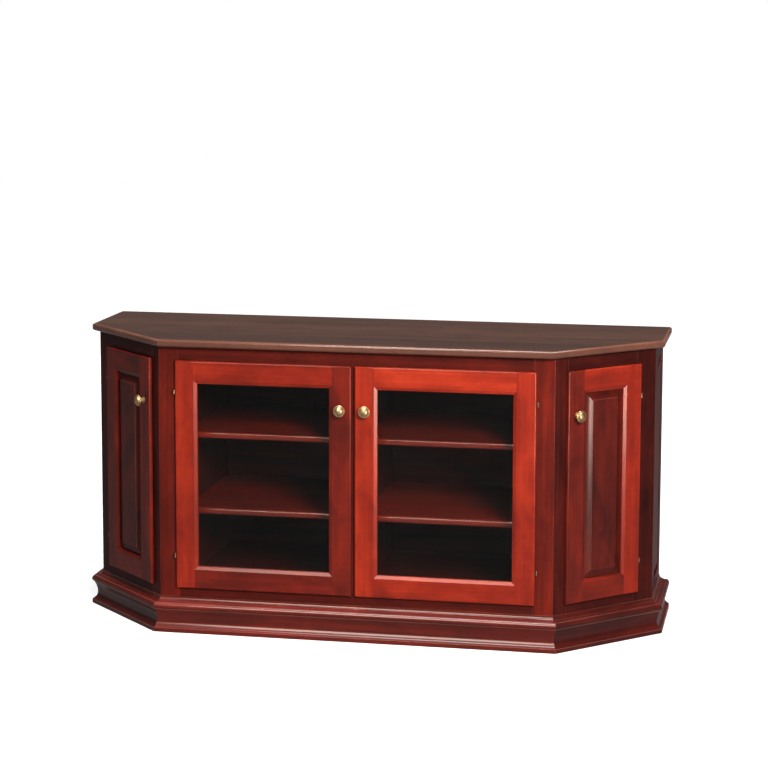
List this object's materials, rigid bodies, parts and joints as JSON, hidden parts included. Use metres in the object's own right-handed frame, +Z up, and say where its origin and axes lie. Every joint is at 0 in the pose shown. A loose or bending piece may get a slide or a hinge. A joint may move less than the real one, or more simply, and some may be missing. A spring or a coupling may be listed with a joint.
{
  "type": "television cabinet",
  "caption": "Low stained-wood television cabinet with a flat glazed front, angled wings with raised-panel doors, a thin overhanging top and a coved base moulding.",
  "frame": {"origin": "on the floor, in the middle of the width and of the depth over the knobs", "axes": "+X to the viewer's right along the front, +Y to the back, +Z up through the top"},
  "size_m": [1.536, 0.522, 0.762],
  "materials": {
    "top_wood": "satin lacquer over dark cherry stain",
    "frame_wood": "satin lacquer over cherry stain",
    "door_wood": "satin lacquer over cherry stain",
    "moulding_wood": "satin lacquer over cherry stain",
    "inside_wood": "dull stain",
    "back_board": "dull stain",
    "clear_glass": "polished",
    "antique_brass": "aged, rubbed bright on the crown",
    "hinge_brass": "aged",
    "pin_steel": "plated"
  },
  "bodies": {
    "cabinet": {"back_panel": "back_board", "base_moulding_front": "moulding_wood", "base_moulding_left_side": "moulding_wood", "base_moulding_left_wing": "moulding_wood", "base_moulding_right_side": "moulding_wood", "base_moulding_right_wing": "moulding_wood", "bay_shelves": "inside_wood", "bottom_panel": "inside_wood", "centre_divider": "inside_wood", "centre_stile": "frame_wood", "front_bottom_rail": "frame_wood", "front_left_stile": "frame_wood", "front_right_stile": "frame_wood", "front_top_rail": "frame_wood", "hinge_frame_leaves": "hinge_brass", "hinge_pins": "hinge_brass", "left_divider": "inside_wood", "left_side_frame": "frame_wood", "left_side_panel": "frame_wood", "left_wing_rails": "frame_wood", "left_wing_stiles": "frame_wood", "right_divider": "inside_wood", "right_side_frame": "frame_wood", "right_side_panel": "frame_wood", "right_wing_rails": "frame_wood", "right_wing_stiles": "frame_wood", "shelf_pins": "pin_steel", "top_slab": "top_wood", "top_stretchers": "inside_wood", "wing_shelves": "inside_wood"},
    "front_left_door": {"front_left_door_bottom_rail": "door_wood", "front_left_door_glass": "clear_glass", "front_left_door_glass_stops": "door_wood", "front_left_door_hinge_leaves": "hinge_brass", "front_left_door_hinge_stile": "door_wood", "front_left_door_knob": "antique_brass", "front_left_door_lock_stile": "door_wood", "front_left_door_top_rail": "door_wood"},
    "front_right_door": {"front_right_door_bottom_rail": "door_wood", "front_right_door_glass": "clear_glass", "front_right_door_glass_stops": "door_wood", "front_right_door_hinge_leaves": "hinge_brass", "front_right_door_hinge_stile": "door_wood", "front_right_door_knob": "antique_brass", "front_right_door_lock_stile": "door_wood", "front_right_door_top_rail": "door_wood"},
    "left_wing_door": {"left_wing_door_bottom_rail": "door_wood", "left_wing_door_hinge_leaves": "hinge_brass", "left_wing_door_hinge_stile": "door_wood", "left_wing_door_knob": "antique_brass", "left_wing_door_lock_stile": "door_wood", "left_wing_door_panel": "door_wood", "left_wing_door_top_rail": "door_wood"},
    "right_wing_door": {"right_wing_door_bottom_rail": "door_wood", "right_wing_door_hinge_leaves": "hinge_brass", "right_wing_door_hinge_stile": "door_wood", "right_wing_door_knob": "antique_brass", "right_wing_door_lock_stile": "door_wood", "right_wing_door_panel": "door_wood", "right_wing_door_top_rail": "door_wood"}
  },
  "joints": [
    {"name": "front_left_door_hinge", "type": "hinge", "parent": "cabinet", "child": "front_left_door", "pos_m": [-0.468, -0.2307, 0.411], "axis": [0, 0, -1], "range_deg": [0, 110]},
    {"name": "front_right_door_hinge", "type": "hinge", "parent": "cabinet", "child": "front_right_door", "pos_m": [0.468, -0.2307, 0.411], "axis": [0, 0, 1], "range_deg": [0, 110]},
    {"name": "left_wing_door_hinge", "type": "hinge", "parent": "cabinet", "child": "left_wing_door", "pos_m": [-0.70797, -0.03509, 0.411], "axis": [0, 0, -1], "range_deg": [0, 110]},
    {"name": "right_wing_door_hinge", "type": "hinge", "parent": "cabinet", "child": "right_wing_door", "pos_m": [0.70797, -0.03509, 0.411], "axis": [0, 0, 1], "range_deg": [0, 110]}
  ]
}
